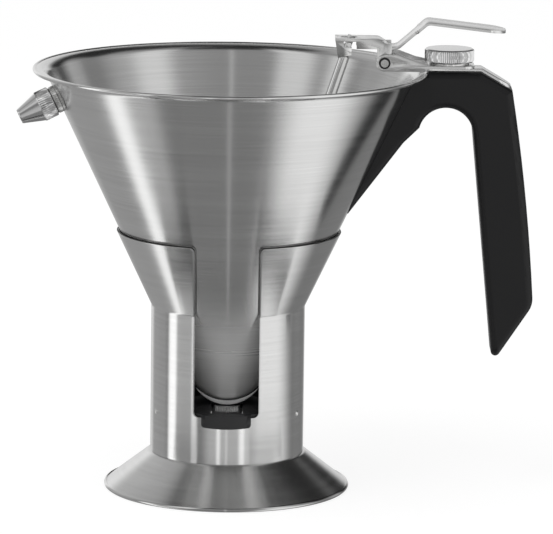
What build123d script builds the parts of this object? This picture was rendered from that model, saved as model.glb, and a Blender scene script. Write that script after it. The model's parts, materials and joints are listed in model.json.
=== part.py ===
from build123d import *
from math import cos, radians, sin, sqrt, tan
import os

# Batter dispenser: a steel funnel with a thumb lever, a valve rod and a screw-on nozzle,
# standing in a flared steel sleeve on a spun foot.
# Millimetres, +Z up. The origin is the middle of the foot's resting plane, +X points to
# the handle and -Y to the cut-out in the stand.

# ---- Clearances ----
fixed_gap = 0.05  # radial, between round pieces that are fixed in one another
running_gap = 0.06  # radial, between a pin and the hole it turns in
moving_gap = 0.3  # between pieces that move past or lift off each other

# ---- Stand ----
foot_radius = 60.0
foot_height = 18.0
foot_wall = 1.0
foot_hem = 2.2  # the edge rolled under, flattened where it rests
hem_round = 0.8
foot_shoulder = 0.9  # how far the foot's top stands out past the sleeve
foot_lip = 4.0  # how far it reaches in under the sleeve
sleeve_radius = 37.5
sleeve_wall = 1.0
collar_height = 127.0
collar_gap = 0.5  # between the funnel's cone and the collar, across the axis
cutout_width = 31.2
cutout_corner = 2.5
collar_corner = 3.0
screw_angle = 66.0  # from the middle of the cut-out, to each side
screw_shank_radius = 0.9
screw_head_radius = 1.45
screw_head_height = 0.8
screw_length = 5.0
dome_share = 0.55  # flat top of a screw head over its width

# ---- Seat insert ----
ledge_over_bowl = 1.5  # the ledge over the bowl's lowest point outside
ledge_rise = 1.6  # the ledge over the cut-out's lower edge
insert_depth = 12.5
insert_plate = 6.6
insert_skirt = 3.4
cradle_radius = 27.0
cradle_height = 10.5
cradle_face = 9.2  # from the axis to the cradle's flat front
cradle_lip = 4.0  # how far the lip stands out in front of that face
lip_thickness = 2.0
lip_inset = 0.2  # the lip's ends from the sides of the cut-out
lip_sag = 8.5  # from the lip's ends down to its lowest point
lip_rise = 0.3  # its lowest point over the ledge
nozzle_way = 0.55  # round the nozzle, inside the insert
front_bar = 3.4
tongue_width = 24.0
tongue_height = 5.8
tongue_thickness = 1.9
tongue_round = 1.6
tongue_sag = 0.7

# ---- Funnel bowl ----
bowl_height = 41.1  # its lowest point outside
rim_radius = 95.7
rim_hem = 1.8
bowl_wall = 0.9
cone_half_angle = 25.2
lip_width = 7.2  # from the cone's top out to the rim
lip_bend = 5.0
bottom_radius = 20.0  # outside, of the round bottom

# ---- Outlet and nozzles ----
neck_radius = 5.0
neck_bore = 3.2
neck_reach = 6.2  # thread below the seal
neck_flange_radius = 6.4
neck_flange = 0.4
neck_rise = 1.5  # above the bowl's lowest point outside
seat_chamfer = 1.4
seal_thickness = 0.5
nozzle_radius = 7.4
knurl_length = 6.9
nozzle_cone_radius = 7.1
nozzle_cone_length = 10.8
nozzle_tip_radius = 3.55
nozzle_tip_bore = 2.5
nozzle_chamfer = 0.4
thread_depth = 6.4

# ---- Stud for the spare nozzle ----
stud_turn = 9.0  # degrees from the handle's plane towards the cut-out
stud_drop = 9.8  # from the cone's top to where its axis meets the cone
stud_radius = 6.75
stud_length = 2.3

# ---- Handle, its outline given out from the rim and up from the handle's top ----
handle_width = 22.0
handle_round = 3.5
handle_rise = 0.6  # of the handle's top over the rim
handle_back = (25.0, 0.0)  # where the flat top ends
shoulder = (40.3, -8.8)
grip_middle = (48.8, -70.0)
grip_bottom = (52.5, -114.0)
grip_tip = (33.1, -143.4)
grip_inside_low = (30.7, -119.0)
grip_inside_high = (21.6, -29.3)
arch_top = (9.1, -17.6)
arch_front = (13.6, -27.5)  # this and the web's points are given out from the cone
web_knee = (9.5, -34.9)
web_tip = (-0.2, -70.0)
heel_round = 11.0
tip_round = 2.2
saddle_thickness = 1.5
saddle_width = 15.0
saddle_start = 10.0  # below the handle's top
saddle_length = 45.0

# ---- Strap, bracket and knob stacked on the handle ----
strap_width = 14.0
strap_thickness = 1.4
strap_inset = 8.5  # its front end in from the rim
strap_end_inset = 1.6  # short of the handle's shoulder
bracket_thickness = 1.4
bracket_inside = 15.6
bracket_reach = 12.0  # past the knob's axis
bracket_end_round = 5.0
cheek_drop = 4.0  # from the pivot to the cheek's lower edge
cheek_fold = 12.3  # where the cheeks are folded up from the plate, before the knob's axis
cheek_end = 9.7  # where they end, before the knob's axis
cheek_crest = ((20.2, 0.3), (15.3, 1.3), (7.1, 4.3))  # from the pivot
knob_reach = 9.8  # its axis out from the rim
knob_radius = 11.95
knob_height = 6.5
knob_chamfer = 0.8
knob_shank_radius = 3.0
knob_shank_length = 16.0
washer_radius = 9.6
washer_thickness = 1.0
washer_gap = 0.1
threaded_insert_radius = 5.0
threaded_insert_length = 13.0

# ---- Lever, its outline given from the pivot ----
pivot_inset = 21.6  # in from the rim
pivot_rise = 1.1  # over the bracket's plate
pivot_radius = 1.9
bush_radius = 2.75
ear_radius = 4.1
lever_thickness = 1.4
channel_width = 15.0
channel_front = -23.9
channel_top = 11.4
flange_bottom = 6.5
channel_back = -2.9
valley = (4.7, 6.7)
riser_top = (20.3, 20.3)
thumb_tip = (58.3, 16.1)
thumb_width = 20.5
widen_at = 15.6
lever_bend = 4.0
lug_radius = 3.4
pin_end = 0.9  # past the cheeks
thumb_round = 8.5
widen_round = 1.2
web_slot_length = 8.0
web_slot_play = 1.2

# ---- Valve rod ----
rod_radius = 2.65
rod_neck_radius = 1.7
rod_neck_length = 7.0
rod_over_pin = 3.8
plug_radius = 5.2
rod_foot = 0.5  # from the plug's middle to the rod's end
rod_pin_radius = 1.1
rod_pin_length = 17.0
hook_reach = 17.2  # from the pivot to the rod's cross pin, along X
hook_slot = 2.7  # height of the slot that holds the pin
slot_front = 2.6  # before the pin's axis
hook_tip_back = 1.25  # behind the pin's axis
hook_gap_back = 3.6
hook_bottom = 2.0  # over the pivot
hook_tip_bottom = 3.5

# ---- Return spring ----
spring_wire = 0.45
leg_wire = 0.4  # the legs are drawn a little thinner, so that they pass cleanly into the coil
spring_play = 0.5  # between the pin and the coil
spring_turns = 5
coil_pitch = 0.95  # of the wire's width, so that the closed turns are one piece
spring_leg = 5.4
spring_leg_rise = 33.0
anchor_offset = 4.2  # from the pivot to the hole that holds the short leg


def cone_radius(height):
    """Outside radius of the funnel's cone at a height."""
    return bottom_radius / slope_cos + (height - bottom_centre[1]) * tan(radians(cone_half_angle))


def cone_height(radius):
    """Height at which the funnel's cone has an outside radius."""
    return bottom_centre[1] + (radius - bottom_radius / slope_cos) / tan(radians(cone_half_angle))


def on_circle(centre, radius, angle):
    """Point of a circle in the X-Z section, the angle in degrees up from +X."""
    return (
        centre[0] + radius * cos(radians(angle)),
        centre[1] + radius * sin(radians(angle)),
    )


def from_rim(point):
    """Point of the handle's outline, given out from the rim and up from the handle's top."""
    return (rim_radius + point[0], handle_top + point[1])


def from_cone(point):
    """Point of the handle's outline, given out from the cone and up from the handle's top."""
    height = handle_top + point[1]
    return (cone_radius(height) + point[0], height)


def section(seat):
    """Plane for half a turned profile: its X is the radius, its Y runs along the seat's normal."""
    return Plane(seat.origin, x_dir=seat.x_dir, z_dir=-seat.y_dir)


def save(piece, name):
    """Label a finished piece and write its STEP file."""
    piece.part.label = name
    export_step(piece.part, f"parts/{name}.step")


os.makedirs("parts", exist_ok=True)

# Places worked out from the driving dimensions
slope_sin = sin(radians(cone_half_angle))
slope_cos = cos(radians(cone_half_angle))
bottom_centre = (0, bowl_height + bottom_radius)
cone_top_radius = rim_radius - lip_width
cone_top = cone_height(cone_top_radius)
lip_under = cone_top + lip_bend * (1 - slope_sin)
hem_middle = lip_under + bowl_wall / 2
rim_height = hem_middle + rim_hem / 2
handle_top = rim_height + handle_rise
sleeve_inside = sleeve_radius - sleeve_wall
ledge_height = bowl_height + ledge_over_bowl
cutout_bottom = ledge_height - ledge_rise
screw_height = ledge_height - insert_plate / 2
neck_seat = bottom_centre[1] - sqrt(bottom_radius**2 - (neck_radius + fixed_gap) ** 2) - fixed_gap

# ==== Stand ====

# Spun foot: a flared ring with a flattened hem, its top turned in under the sleeve
with BuildPart() as stand_foot:
    with BuildSketch(Plane.XZ):
        with BuildLine():
            Polyline(
                (sleeve_radius - foot_lip, foot_height),
                (sleeve_radius + foot_shoulder, foot_height),
                (foot_radius - foot_hem / 2, foot_hem / 2),
            )
            offset(amount=foot_wall, side=Side.RIGHT)
        make_face()
        with Locations((foot_radius - foot_hem / 2, foot_hem / 2)):
            RectangleRounded(foot_hem, foot_hem, hem_round)
    revolve(axis=Axis.Z)
save(stand_foot, "stand_foot")

# Sleeve: a tube that opens into a collar, slotted in front and open through the collar's edge
sleeve_bend = cone_height(sleeve_inside - collar_gap)
collar_radius = cone_radius(collar_height) + collar_gap
with BuildPart() as stand_sleeve:
    with BuildSketch(Plane.XZ):
        with BuildLine():
            Polyline(
                (sleeve_inside, foot_height),
                (sleeve_inside, sleeve_bend),
                (collar_radius, collar_height),
            )
            offset(amount=sleeve_wall, side=Side.RIGHT)
        make_face()
    revolve(axis=Axis.Z)
    with BuildSketch(Plane.XZ) as cutout:
        half_width = cutout_width / 2
        outside = half_width + 2 * collar_corner
        above = collar_height + 2 * collar_corner
        with BuildLine():
            Polyline(
                (-half_width, cutout_bottom),
                (half_width, cutout_bottom),
                (half_width, collar_height),
                (outside, collar_height),
                (outside, above),
                (-outside, above),
                (-outside, collar_height),
                (-half_width, collar_height),
                close=True,
            )
        make_face()
        fillet(cutout.vertices().group_by(Axis.Y)[0], cutout_corner)
        fillet(cutout.vertices().group_by(Axis.Y)[-2].sort_by(Axis.X)[1:3], collar_corner)
    extrude(amount=2 * collar_radius, mode=Mode.SUBTRACT)
    for side in (-1, 1):
        turn = radians(side * screw_angle)
        with BuildSketch(Plane((0, 0, screw_height), z_dir=(sin(turn), -cos(turn), 0))):
            Circle(screw_shank_radius + fixed_gap)
        extrude(amount=2 * sleeve_radius, mode=Mode.SUBTRACT)
save(stand_sleeve, "stand_sleeve")

insert_radius = sleeve_inside - fixed_gap
way_radius = nozzle_radius + nozzle_way
tongue_inside = sleeve_radius + fixed_gap
tongue_outside = tongue_inside + tongue_thickness
lip_low = ledge_height + lip_rise

# The flap of the insert's tongue, cut from a ring so that it follows the sleeve
with BuildPart() as tongue_flap:
    with BuildSketch(Plane.XY.offset(ledge_height - tongue_height - tongue_sag)):
        Circle(tongue_outside)
        Circle(tongue_inside, mode=Mode.SUBTRACT)
    extrude(amount=tongue_height + tongue_sag)
    with BuildSketch(Plane.XZ) as flap:
        flap_low = ledge_height - tongue_height
        half_tongue = tongue_width / 2
        with BuildLine():
            Polyline(
                (half_tongue, flap_low),
                (half_tongue, ledge_height),
                (-half_tongue, ledge_height),
                (-half_tongue, flap_low),
            )
            ThreePointArc((-half_tongue, flap_low), (0, flap_low - tongue_sag), (half_tongue, flap_low))
        make_face()
        fillet(flap.vertices().group_by(Axis.Y)[0], tongue_round)
    extrude(amount=2 * tongue_outside, mode=Mode.INTERSECT)

# Moulded seat insert: a plate with a cradle for the funnel's round bottom, a way for the
# nozzle that is open to the front, a lip under the bowl and a tongue over the cut-out's edge
with BuildPart() as seat_insert:
    with BuildSketch(Plane.XY.offset(ledge_height - insert_depth)):
        Circle(insert_radius)
    extrude(amount=insert_depth)
    with BuildSketch(Plane.XY.offset(ledge_height - insert_depth)):
        Circle(insert_radius - insert_skirt)
    extrude(amount=insert_depth - insert_plate, mode=Mode.SUBTRACT)
    with BuildSketch(Plane.XY.offset(ledge_height)):
        Circle(cradle_radius)
        with Locations((0, -cradle_face)):
            Rectangle(
                2 * cradle_radius,
                cradle_radius,
                align=(Align.CENTER, Align.MAX),
                mode=Mode.SUBTRACT,
            )
    extrude(amount=cradle_height)
    # way for the nozzle
    with BuildSketch(Plane.XY.offset(ledge_height - insert_depth)):
        Circle(way_radius)
        Rectangle(2 * way_radius, insert_radius - front_bar, align=(Align.CENTER, Align.MAX))
    extrude(amount=insert_depth, mode=Mode.SUBTRACT)
    # lip under the front of the bowl, a crescent between two arcs
    with BuildSketch(Plane.XZ.offset(cradle_face)):
        half_span = cutout_width / 2 - lip_inset
        lip_end = lip_low + lip_sag
        with BuildLine():
            ThreePointArc((-half_span, lip_end), (0, lip_low), (half_span, lip_end))
            ThreePointArc((half_span, lip_end), (0, lip_low + lip_thickness), (-half_span, lip_end))
        make_face()
    extrude(amount=cradle_lip)
    # tongue hooked over the lower edge of the cut-out
    with BuildSketch(Plane.XY.offset(cutout_bottom + fixed_gap)):
        Circle(tongue_outside)
        Circle(insert_radius - front_bar, mode=Mode.SUBTRACT)
        Rectangle(
            tongue_width,
            2 * tongue_outside,
            align=(Align.CENTER, Align.MAX),
            mode=Mode.INTERSECT,
        )
    extrude(amount=ledge_rise - fixed_gap)
    # dish that follows the bowl, with room to lift it out
    with BuildSketch(Plane.XZ):
        with BuildLine():
            dish_top = cradle_height + ledge_height
            dish_radius = bottom_radius + moving_gap
            tangent = on_circle(bottom_centre, dish_radius, -cone_half_angle)
            low = (0, bottom_centre[1] - dish_radius)
            dish_edge = (tangent[0] + (dish_top - tangent[1]) * tan(radians(cone_half_angle)), dish_top)
            middle = on_circle(bottom_centre, dish_radius, -(90 + cone_half_angle) / 2)
            ThreePointArc(low, middle, tangent)
            Polyline(tangent, dish_edge, (0, dish_top), low)
        make_face()
    revolve(axis=Axis.Z, mode=Mode.SUBTRACT)
    for side in (-1, 1):
        turn = radians(side * screw_angle)
        with BuildSketch(Plane((0, 0, screw_height), z_dir=(sin(turn), -cos(turn), 0))):
            Circle(screw_shank_radius + fixed_gap)
        extrude(amount=2 * sleeve_radius, mode=Mode.SUBTRACT)
    add(tongue_flap.part)
save(seat_insert, "seat_insert")

# Two small dome-headed screws hold the insert in the sleeve
with BuildPart() as insert_screws:
    for side in (-1, 1):
        turn = radians(side * screw_angle)
        seat = Plane(
            (sleeve_radius * sin(turn), -sleeve_radius * cos(turn), screw_height),
            z_dir=(sin(turn), -cos(turn), 0),
        )
        with BuildSketch(section(seat)):
            with BuildLine():
                Polyline(
                    (0, -screw_length),
                    (screw_shank_radius, -screw_length),
                    (screw_shank_radius, fixed_gap),
                    (screw_head_radius, fixed_gap),
                    (screw_head_radius, screw_head_height / 3),
                    (screw_head_radius * dome_share, screw_head_height),
                    (0, screw_head_height),
                    close=True,
                )
            make_face()
        revolve(axis=Axis(seat.origin, seat.z_dir))
save(insert_screws, "insert_screws")

# ==== Funnel ====

# Bowl: a spun cone with a round bottom, a hole for the outlet and a flared, hemmed lip
cone_start = on_circle(bottom_centre, bottom_radius, -cone_half_angle)
cone_end = (cone_top_radius, cone_top)
bend_centre = (cone_top_radius + lip_bend * slope_cos, cone_top - lip_bend * slope_sin)
bend_end = (bend_centre[0], bend_centre[1] + lip_bend)
hem_centre = (rim_radius - rim_hem / 2, hem_middle)
with BuildPart() as funnel_bowl:
    with BuildSketch(Plane.XZ):
        with BuildLine():
            ThreePointArc(
                (0, bowl_height),
                on_circle(bottom_centre, bottom_radius, -(90 + cone_half_angle) / 2),
                cone_start,
            )
            Line(cone_start, cone_end)
            ThreePointArc(
                cone_end,
                on_circle(bend_centre, lip_bend, (270 - cone_half_angle) / 2),
                bend_end,
            )
            Line(bend_end, (hem_centre[0], lip_under))
            offset(amount=bowl_wall, side=Side.LEFT)
        make_face()
        with Locations(hem_centre):
            Circle(rim_hem / 2)
        # the offset past the axis
        with Locations((0, bowl_height)):
            Rectangle(
                bottom_radius,
                bottom_radius,
                align=(Align.MAX, Align.CENTER),
                mode=Mode.SUBTRACT,
            )
    revolve(axis=Axis.Z)
    with BuildSketch(Plane.XY):
        Circle(neck_radius + fixed_gap)
    extrude(amount=bottom_centre[1], mode=Mode.SUBTRACT)
save(funnel_bowl, "funnel_bowl")

# Outlet neck: turned, welded in the bowl's hole, with the valve's conical seat on top
neck_bottom = neck_seat - neck_flange - seal_thickness - neck_reach
neck_top = bowl_height + neck_rise
with BuildPart() as outlet_neck:
    with BuildSketch(Plane.XZ):
        with BuildLine():
            Polyline(
                (neck_bore, neck_bottom),
                (neck_radius, neck_bottom),
                (neck_radius, neck_seat - neck_flange),
                (neck_flange_radius, neck_seat - neck_flange),
                (neck_flange_radius, neck_seat),
                (neck_radius, neck_seat),
                (neck_radius, neck_top),
                (neck_bore + seat_chamfer, neck_top),
                (neck_bore, neck_top - seat_chamfer),
                close=True,
            )
        make_face()
    revolve(axis=Axis.Z)
save(outlet_neck, "outlet_neck")

# Stud on the cone's left side that carries the spare nozzle: a knurled foot and a short thread
stud_direction = Vector(-slope_cos, 0, -slope_sin).rotate(Axis.Z, stud_turn)
stud_up = Vector(-slope_sin, 0, slope_cos).rotate(Axis.Z, stud_turn)
stud_height = cone_top - stud_drop
stud_foot = Vector(-cone_radius(stud_height), 0, stud_height).rotate(Axis.Z, stud_turn)
stud_base = Plane(stud_foot, x_dir=stud_up, z_dir=stud_direction)
spare_seat = stud_base.offset(stud_length)
fitted_seat = Plane((0, 0, neck_seat - neck_flange), x_dir=(1, 0, 0), z_dir=(0, 0, -1))
with BuildPart() as nozzle_stud:
    with BuildSketch(section(stud_base)):
        with BuildLine():
            Polyline(
                (0, -stud_length),
                (stud_radius, -stud_length),
                (stud_radius, stud_length),
                (neck_radius, stud_length),
                (neck_radius, stud_length + seal_thickness + neck_reach),
                (0, stud_length + seal_thickness + neck_reach),
                close=True,
            )
        make_face()
    revolve(axis=Axis(stud_base.origin, stud_base.z_dir))
    # its foot is shaped to the cone
    with BuildSketch(Plane.XZ):
        with BuildLine():
            stud_foot_low = stud_height - 2 * stud_radius
            stud_foot_high = stud_height + 2 * stud_radius
            Polyline(
                (0, stud_foot_low),
                (cone_radius(stud_foot_low) + fixed_gap, stud_foot_low),
                (cone_radius(stud_foot_high) + fixed_gap, stud_foot_high),
                (0, stud_foot_high),
                close=True,
            )
        make_face()
    revolve(axis=Axis.Z, mode=Mode.SUBTRACT)
save(nozzle_stud, "nozzle_stud")

# Two alike nozzles with their seals: one on the outlet, the spare on its stud
for place, seat in (("fitted", fitted_seat), ("spare", spare_seat)):
    with BuildPart() as nozzle_seal:
        with BuildSketch(seat.offset(fixed_gap)):
            Circle(neck_flange_radius)
            Circle(neck_radius + 2 * running_gap, mode=Mode.SUBTRACT)
        extrude(amount=seal_thickness - 2 * fixed_gap)
    save(nozzle_seal, f"{place}_seal")
    knurl_end = knurl_length
    tip_end = knurl_length + nozzle_cone_length
    with BuildPart() as nozzle:
        with BuildSketch(section(seat.offset(seal_thickness))):
            with BuildLine():
                Polyline(
                    (neck_radius + running_gap, 0),
                    (nozzle_radius - nozzle_chamfer, 0),
                    (nozzle_radius, nozzle_chamfer),
                    (nozzle_radius, knurl_end - nozzle_chamfer / 2),
                    (nozzle_cone_radius, knurl_end),
                    (nozzle_tip_radius, tip_end),
                    (nozzle_tip_bore, tip_end),
                    (nozzle_tip_bore, thread_depth + neck_radius - nozzle_tip_bore),
                    (neck_radius + running_gap, thread_depth),
                    close=True,
                )
            make_face()
        revolve(axis=Axis(seat.origin, seat.z_dir))
    save(nozzle, f"{place}_nozzle")

# ==== Handle ====


def cone_strip(thickness, width, low, high, gap=0.0):
    """A strip of sheet bent round the cone's +X side, lying at a gap from it."""
    with BuildPart() as strip:
        with BuildSketch(Plane.XZ):
            with BuildLine():
                Polyline((cone_radius(low) + gap, low), (cone_radius(high) + gap, high))
                offset(amount=thickness, side=Side.RIGHT)
            make_face()
        revolve(axis=Axis.Z)
        with BuildSketch(Plane.XY.offset(low - thickness)):
            Rectangle(rim_radius, width, align=(Align.MIN, Align.CENTER))
        extrude(amount=high - low + 2 * thickness, mode=Mode.INTERSECT)
    return strip.part


# Steel saddle on the cone that the moulded handle fits over
knob_x = rim_radius + knob_reach
saddle_high = handle_top - saddle_start
saddle_low = saddle_high - saddle_length
saddle_strip = cone_strip(saddle_thickness, saddle_width, saddle_low, saddle_high, fixed_gap)
with BuildPart() as handle_saddle:
    add(saddle_strip)
save(handle_saddle, "handle_saddle")

# Moulded handle: a grip hanging from a top block, with a thin web down the cone. It is
# pocketed for the saddle and for the threaded insert, and hollowed round the bowl's lip.
saddle_pocket = cone_strip(
    saddle_thickness + 2 * fixed_gap,
    saddle_width + 2 * fixed_gap,
    saddle_low - fixed_gap,
    saddle_high + fixed_gap,
)
shank_pocket_depth = knob_shank_length + 2 * moving_gap
handle_gap = 2 * fixed_gap
with BuildPart() as handle_body:
    with BuildSketch(Plane.XZ) as handle_side:
        inner_low = from_cone((-heel_round, web_tip[1]))
        with BuildLine():
            Polyline(
                inner_low,
                (cone_top_radius - heel_round, handle_top),
                from_rim(handle_back),
                from_rim(shoulder),
            )
            ThreePointArc(from_rim(shoulder), from_rim(grip_middle), from_rim(grip_bottom))
            Polyline(
                from_rim(grip_bottom),
                from_rim(grip_tip),
                from_rim(grip_inside_low),
                from_rim(grip_inside_high),
            )
            ThreePointArc(from_rim(grip_inside_high), from_rim(arch_top), from_cone(arch_front))
            Polyline(from_cone(arch_front), from_cone(web_knee), from_cone(web_tip), inner_low)
        make_face()
        fillet(handle_side.vertices().sort_by_distance(from_rim(grip_bottom))[0], heel_round)
        fillet(handle_side.vertices().sort_by_distance(from_rim(grip_tip))[0], tip_round)
    extrude(amount=handle_width / 2, both=True)
    fillet(handle_body.faces().filter_by(Axis.Y).edges(), handle_round)
    with BuildSketch(Plane.XZ):
        inner_bend = lip_bend - handle_gap
        below_web = from_cone((handle_gap, web_tip[1] - heel_round))
        with BuildLine():
            Polyline(
                (0, handle_top + heel_round),
                (0, below_web[1]),
                below_web,
                on_circle(bend_centre, inner_bend, 180 - cone_half_angle),
            )
            ThreePointArc(
                on_circle(bend_centre, inner_bend, 180 - cone_half_angle),
                on_circle(bend_centre, inner_bend, (270 - cone_half_angle) / 2),
                on_circle(bend_centre, inner_bend, 90),
            )
            hem_side = hem_centre[0] - rim_hem / 2 - handle_gap
            hem_low = rim_height - rim_hem - handle_gap
            Polyline(
                on_circle(bend_centre, inner_bend, 90),
                (hem_side, bend_centre[1] + inner_bend),
                (hem_side, hem_low),
                (rim_radius + handle_gap, hem_low),
                (rim_radius + handle_gap, handle_top + heel_round),
                (0, handle_top + heel_round),
            )
        make_face()
    revolve(axis=Axis.Z, mode=Mode.SUBTRACT)
    add(saddle_pocket, mode=Mode.SUBTRACT)
    with BuildSketch(Plane.XY.offset(handle_top)):
        with Locations((knob_x, 0)):
            Circle(threaded_insert_radius + fixed_gap)
    extrude(amount=-threaded_insert_length, mode=Mode.SUBTRACT)
    with BuildSketch(Plane.XY.offset(handle_top)):
        with Locations((knob_x, 0)):
            Circle(knob_shank_radius + moving_gap)
    extrude(amount=-shank_pocket_depth, mode=Mode.SUBTRACT)
save(handle_body, "handle_body")

# Threaded insert in the handle for the knob's shank
with BuildPart() as threaded_insert:
    with BuildSketch(Plane.XY.offset(handle_top)):
        with Locations((knob_x, 0)):
            Circle(threaded_insert_radius)
            Circle(knob_shank_radius + running_gap, mode=Mode.SUBTRACT)
    extrude(amount=-threaded_insert_length)
save(threaded_insert, "threaded_insert")

# Strap over the rim and the handle's top, bent down over its shoulder
strap_fold = Vector(*from_rim(handle_back))
strap_fall = (Vector(*from_rim(shoulder)) - strap_fold).normalized()
strap_end = Vector(*from_rim(shoulder)) - strap_fall * strap_end_inset
strap_front = rim_radius - strap_inset
strap_top = handle_top + strap_thickness
with BuildPart() as handle_strap:
    with BuildSketch(Plane.XZ):
        with BuildLine():
            Polyline((strap_front, handle_top), strap_fold, strap_end)
            offset(amount=strap_thickness, side=Side.LEFT)
        make_face()
    extrude(amount=strap_width / 2, both=True)
    with BuildSketch(Plane.XY.offset(strap_end.Y - strap_thickness)) as strap_plan:
        strap_reach = strap_end.X + strap_thickness - strap_front
        with Locations((strap_front, 0)):
            Rectangle(strap_reach, strap_width, align=(Align.MIN, Align.CENTER))
        fillet(strap_plan.vertices().group_by(Axis.X)[-1], strap_width / 2 - fixed_gap)
        with Locations((knob_x, 0)):
            Circle(knob_shank_radius + moving_gap, mode=Mode.SUBTRACT)
    extrude(amount=handle_width, mode=Mode.INTERSECT)
save(handle_strap, "handle_strap")

# ==== Lever and its bracket ====

bracket_top = strap_top + bracket_thickness
pivot_x = rim_radius - pivot_inset
pivot_z = bracket_top + pivot_rise
pivot = Plane((pivot_x, 0, pivot_z), x_dir=(1, 0, 0), z_dir=(0, -1, 0))
half_inside = bracket_inside / 2
half_outside = half_inside + bracket_thickness
fold_start = knob_x - cheek_fold - pivot_x
fold_end = knob_x - cheek_end - pivot_x

# Bracket: a plate clamped under the knob, folded up into two cheeks that hold the pivot
with BuildPart() as lever_bracket:
    with BuildSketch(Plane.XY.offset(strap_top)) as bracket_plan:
        with Locations((knob_x - cheek_fold, 0)):
            Rectangle(cheek_fold + bracket_reach, 2 * half_outside, align=(Align.MIN, Align.CENTER))
        fillet(bracket_plan.vertices().group_by(Axis.X)[-1], bracket_end_round)
        with Locations((knob_x, 0)):
            Circle(knob_shank_radius + moving_gap, mode=Mode.SUBTRACT)
    extrude(amount=bracket_thickness)
    for near in (half_inside, -half_outside):
        with BuildSketch(pivot.offset(near)):
            with BuildLine():
                Polyline(
                    (0, -cheek_drop),
                    (fold_start, -cheek_drop),
                    (fold_end, -pivot_rise - bracket_thickness),
                    (fold_end, -pivot_rise),
                    *cheek_crest,
                    (0, ear_radius),
                    close=True,
                )
            make_face()
            Circle(ear_radius)
            Circle(bush_radius + fixed_gap, mode=Mode.SUBTRACT)
            with Locations((anchor_offset, 0)):
                Circle(spring_wire + fixed_gap, mode=Mode.SUBTRACT)
        extrude(amount=bracket_thickness)
save(lever_bracket, "lever_bracket")

# Bushes that line the cheeks' holes
with BuildPart() as pivot_bushes:
    for near in (half_inside, -half_outside):
        with BuildSketch(pivot.offset(near)):
            Circle(bush_radius)
            Circle(pivot_radius + running_gap, mode=Mode.SUBTRACT)
        extrude(amount=bracket_thickness)
save(pivot_bushes, "pivot_bushes")

# Pivot pin, fixed in the lever and headed on the far side
with BuildPart() as pivot_pin:
    with BuildSketch(pivot.offset(-half_outside - pin_end)):
        Circle(pivot_radius)
    extrude(amount=2 * (half_outside + pin_end))
    with BuildSketch(pivot.offset(-half_outside - pin_end)):
        Circle(bush_radius)
    extrude(amount=pin_end - moving_gap)
save(pivot_pin, "pivot_pin")

# Lever: one piece of sheet, a channel over the valve rod, a dip behind the pivot, a riser
# and a thumb plate. The channel's front corners are cut into hooks for the rod's cross pin.
half_channel = channel_width / 2
web_middle = channel_top - lever_thickness / 2
slot_high = channel_top - lever_thickness
pin_rise = slot_high - hook_slot / 2
with BuildPart() as lever:
    with BuildSketch(pivot):
        with BuildLine():
            FilletPolyline(
                (channel_front, channel_top),
                (channel_back, channel_top),
                valley,
                riser_top,
                thumb_tip,
                radius=lever_bend,
            )
            offset(amount=lever_thickness, side=Side.RIGHT)
        make_face()
    extrude(amount=thumb_width / 2, both=True)
    with BuildSketch(Plane((pivot_x, 0, pivot_z))) as lever_plan:
        with BuildLine():
            Polyline(
                (channel_front, -half_channel),
                (widen_at, -half_channel),
                (widen_at, -thumb_width / 2),
                (thumb_tip[0], -thumb_width / 2),
                (thumb_tip[0], thumb_width / 2),
                (widen_at, thumb_width / 2),
                (widen_at, half_channel),
                (channel_front, half_channel),
                close=True,
            )
        make_face()
        fillet(lever_plan.vertices().group_by(Axis.X)[-1], thumb_round)
        fillet(lever_plan.vertices().group_by(Axis.X)[1], widen_round)
        with Locations((-hook_reach, 0)):
            SlotOverall(web_slot_length, 2 * rod_neck_radius + web_slot_play, mode=Mode.SUBTRACT)
    extrude(amount=riser_top[1] + lever_thickness, mode=Mode.INTERSECT)
    for near in (half_channel - lever_thickness, -half_channel):
        with BuildSketch(pivot.offset(near)):
            with BuildLine():
                Polyline(
                    (channel_front, web_middle),
                    (channel_back, web_middle),
                    (valley[0], flange_bottom + lever_thickness / 2),
                    (valley[0], flange_bottom),
                    (hook_gap_back - hook_reach, flange_bottom),
                    (hook_gap_back - hook_reach, slot_high),
                    (-hook_reach - slot_front, slot_high),
                    (-hook_reach - slot_front, slot_high - hook_slot),
                    (hook_tip_back - hook_reach, slot_high - hook_slot),
                    (hook_tip_back - hook_reach, hook_tip_bottom),
                    (channel_front + lever_thickness, hook_bottom),
                    close=True,
                )
            make_face()
            Rectangle(2 * lug_radius, slot_high - lever_thickness / 2, align=(Align.CENTER, Align.MIN))
            Circle(lug_radius)
            Circle(pivot_radius + fixed_gap / 2, mode=Mode.SUBTRACT)
        extrude(amount=lever_thickness)
save(lever, "lever")

# Torsion spring on the pivot: one leg in a cheek's hole, the other under the lever's dip
coil_radius = pivot_radius + spring_play + spring_wire
coil_step = 2 * spring_wire * coil_pitch
first_turn = -coil_step * (spring_turns - 1) / 2
with BuildPart() as return_spring:
    with BuildSketch(Plane((pivot_x, 0, pivot_z))):
        for turn in range(spring_turns):
            with Locations((coil_radius, first_turn + turn * coil_step)):
                Circle(spring_wire)
    revolve(axis=Axis((pivot_x, 0, pivot_z), (0, 1, 0)))
    with BuildSketch(Plane((pivot_x + coil_radius, first_turn, pivot_z), z_dir=(1, 0, 0))):
        Circle(leg_wire)
    extrude(amount=anchor_offset - coil_radius)
    with BuildSketch(Plane((pivot_x + anchor_offset, first_turn, pivot_z), z_dir=(0, -1, 0))):
        Circle(leg_wire)
    extrude(amount=half_outside + first_turn)
    with Locations((pivot_x + anchor_offset, first_turn, pivot_z)):
        Sphere(leg_wire)
    leg_start = (pivot_x, -first_turn, pivot_z + coil_radius)
    leg_run = (cos(radians(spring_leg_rise)), 0, sin(radians(spring_leg_rise)))
    with BuildSketch(Plane(leg_start, z_dir=leg_run)):
        Circle(leg_wire)
    extrude(amount=spring_leg)
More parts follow.
